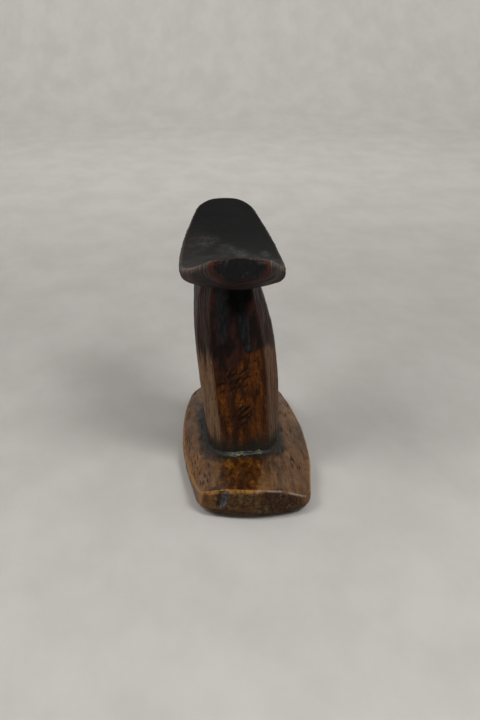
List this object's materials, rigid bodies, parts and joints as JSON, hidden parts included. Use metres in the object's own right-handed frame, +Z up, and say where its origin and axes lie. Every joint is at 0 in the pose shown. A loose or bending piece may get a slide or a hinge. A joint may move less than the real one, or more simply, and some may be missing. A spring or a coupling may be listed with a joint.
{
  "type": "carved headrest",
  "caption": "One-post carved wooden headrest: a leaf-shaped saddle pillow on a bent, faceted post with a domed oblong base.",
  "frame": {"origin": "centre of the base's underside", "axes": "+Z up; +X along the length of the pillow and the base; +Y across them, so the post bulges and leans away from +Y at its top"},
  "size_m": [0.2128, 0.093, 0.1724],
  "materials": {
    "waxed_brown_wood": "waxed brown wood with amber edges and dark pores, worn glossy",
    "amber_post_wood": "faceted knife-cut wood, amber at the foot and blackened at the neck, satin",
    "black_patina_wood": "near-black handled patina, red-brown where the edges are worn, satin",
    "pale_packing": "matt fibrous packing, pale with dark grime"
  },
  "bodies": {
    "root": {"base": "waxed_brown_wood", "post": "amber_post_wood", "pillow": "black_patina_wood", "foot_packing": "pale_packing"}
  },
  "joints": []
}
